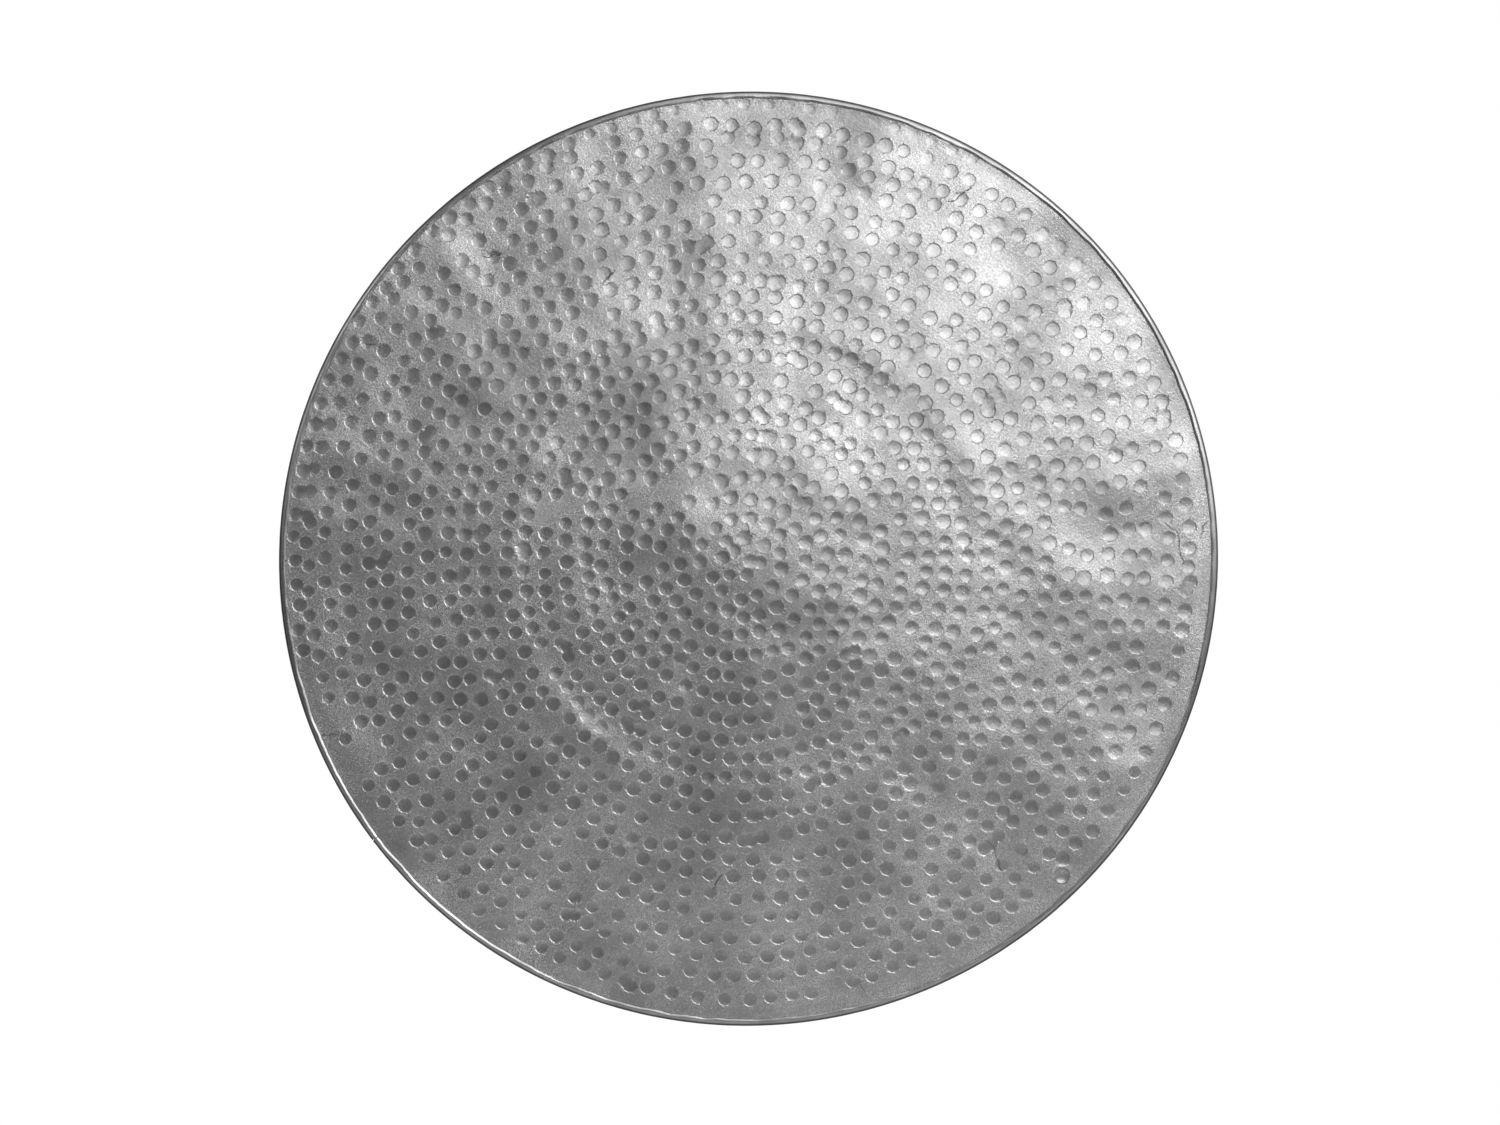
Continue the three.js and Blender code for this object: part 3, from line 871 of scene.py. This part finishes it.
# %% Make the eyelets and their washers
EYELET_BORE = 4.5
WASHER_RADIUS = 8.5
WASHER_SHEET = 0.8
EYELET_SHEET = 1.0
spread_top = lining_radius - WASHER_SHEET - CLEARANCE
spread_bottom = spread_top - EYELET_SHEET


def eyelet_line():
    top = head_base + EYELET_SHEET
    crown = arc((EYELET_BORE + 1.2, top - 1.0), 1.0, 170, 90, 7) + [(7.2, top - 0.05, 0)]
    outer_roll = arc((WASHER_RADIUS - 0.55, top - 0.55), 0.55, 75, 0, 5)
    inner_roll = arc((7.5 - 0.4, spread_bottom + 0.4), 0.4, 10, -90, 5)
    throat = arc((EYELET_BORE + 1.1, spread_bottom + 1.1), 1.1, 270, 180, 6)
    barrel = [(BARREL_RADIUS, head_base, 0), (BARREL_RADIUS, spread_top, 0), (7.4, spread_top, 0)]
    line = crown + outer_roll + [(WASHER_RADIUS, head_base, 0)] + barrel + inner_roll + throat
    return line + line[:1]


def washer_line():
    inner = BARREL_RADIUS + HOLE_CLEARANCE
    low, high, edge = lining_radius - WASHER_SHEET, lining_radius, 0.2
    line = [(inner + edge, low, 0), (WASHER_RADIUS - edge, low, 0), (WASHER_RADIUS, low + edge, 0),
            (WASHER_RADIUS, high - edge, 0), (WASHER_RADIUS - edge, high, 0), (inner + edge, high, 0),
            (inner, high - edge, 0), (inner, low + edge, 0)]
    return line + line[:1]


for line, part, node in ((eyelet_line(), "eyelet", "hang_eyelet"),
                         (washer_line(), "washer", "eyelet_washer")):
    model = draw_path(line)
    spin(40)
    for side, (angle, depth) in cord_holes.items():
        copy = bpy.data.objects.new(f"{part}_{side}", model.data.copy())
        bpy.context.scene.collection.objects.link(copy)
        stand_out(copy, angle, depth)
        smooth(copy, 35)
        seat(copy, f"{part}_{side}", plated_brass, "plated_eyelet", f"{node}_{side}")
    bpy.data.objects.remove(model)

# %% [markdown]
# ## Floor and light
# The gong hangs over a plain pale floor in a bright white studio. One large soft panel stands high on the
# right, near the camera, and the shallow cone mirrors it as a bright quarter. Panels at the right, the
# ceiling and the upper left catch the slopes that lean that way. Three dim panels behind the camera, each
# smaller than the one before, add up to a soft glow for the rest. The walls are dark in front, which gives
# the marks their shadows, and light behind. There two more panels show the back, as a strip at the left
# does for the skirt.

# %% Floor
floor_white = bpy.data.materials.new("matt_white_floor")
floor_white.use_nodes = True
tree = floor_white.node_tree
paint = tree.nodes["Principled BSDF"]
paint.inputs["Roughness"].default_value = 0.8
grit = spot_noise(tree, 4)
tree.links.new(blend_colours(tree, grit, linear("#f2f2f2"), linear("#ececec")), paint.inputs["Base Color"])
deselect_all()
FLOOR_DROP = 0.72
FLOOR_WIDTH, FLOOR_DEPTH = 6.0, 3.6
bpy.ops.mesh.primitive_plane_add(size=1, location=centre + Vector((0, 0.3, -FLOOR_DROP)))
floor = bpy.context.object
floor.name = "floor"
floor.data.transform(Matrix.Translation(floor.location) @ Matrix.Diagonal((FLOOR_WIDTH, FLOOR_DEPTH, 1, 1)))
floor.location = (0, 0, 0)
floor.data.materials.append(floor_white)

# %% Light
def add_panel(name, place, size, radiance):
    """A soft rectangular light that faces the gong's centre; the place is measured from there."""
    data = bpy.data.lights.new(name, "AREA")
    data.shape = "RECTANGLE"
    data.size, data.size_y = size
    data.energy = radiance * 4 * size[0] * size[1]
    panel = bpy.data.objects.new(name, data)
    bpy.context.scene.collection.objects.link(panel)
    panel.location = centre + Vector(place)
    panel.rotation_euler = (-Vector(place)).to_track_quat("-Z", "Y").to_euler()
    panel.visible_camera = False
    return panel


add_panel("key_panel", (1.31, -3.0, 1.28), (2.7, 2.05), 2.05)
add_panel("right_panel", (3.1, -2.1, 1.1), (1.3, 2.4), 1.3)
add_panel("ceiling_panel", (0.5, -2.2, 2.6), (2.8, 1.0), 1.0)
add_panel("upper_left_panel", (-2.4, -2.5, 1.2), (1.2, 1.4), 1.0)
add_panel("fill_wide", (-0.4, -3.6, -0.2), (2.4, 2.2), 0.02)
add_panel("fill_middle", (-0.2, -3.6, 0.0), (1.8, 1.7), 0.03)
add_panel("fill_heart", (0.2, -3.6, 0.25), (0.8, 0.8), 0.04)
add_panel("side_strip", (-2.6, -0.9, 1.5), (0.5, 2.0), 1.6)
add_panel("rear_panel", (-1.2, 2.4, 1.6), (1.8, 1.8), 1.2)
add_panel("rear_right_panel", (2.9, 1.9, 0.8), (1.4, 1.8), 0.9)

world = bpy.data.worlds.new("white_studio")
bpy.context.scene.world = world
world.use_nodes = True
tree = world.node_tree
tree.nodes.clear()
way = add_node(tree, "ShaderNodeTexCoord").outputs["Generated"]
rearward = add_node(tree, "ShaderNodeSeparateXYZ", {"Vector": way}).outputs["Y"]
dark_wall, light_wall = (0.045, 0.045, 0.045, 1), (0.5, 0.5, 0.5, 1)
walls = blend_colours(tree, remap(tree, rearward, -0.1, 0.8, 0, 1), dark_wall, light_wall)
seen = add_node(tree, "ShaderNodeLightPath").outputs["Is Camera Ray"]
tone = blend_colours(tree, seen, walls, (1, 1, 1, 1))
sky = add_node(tree, "ShaderNodeBackground", {"Color": tone})
add_node(tree, "ShaderNodeOutputWorld", {"Surface": sky.outputs["Background"]})
bpy.context.scene.view_settings.view_transform = "Standard"
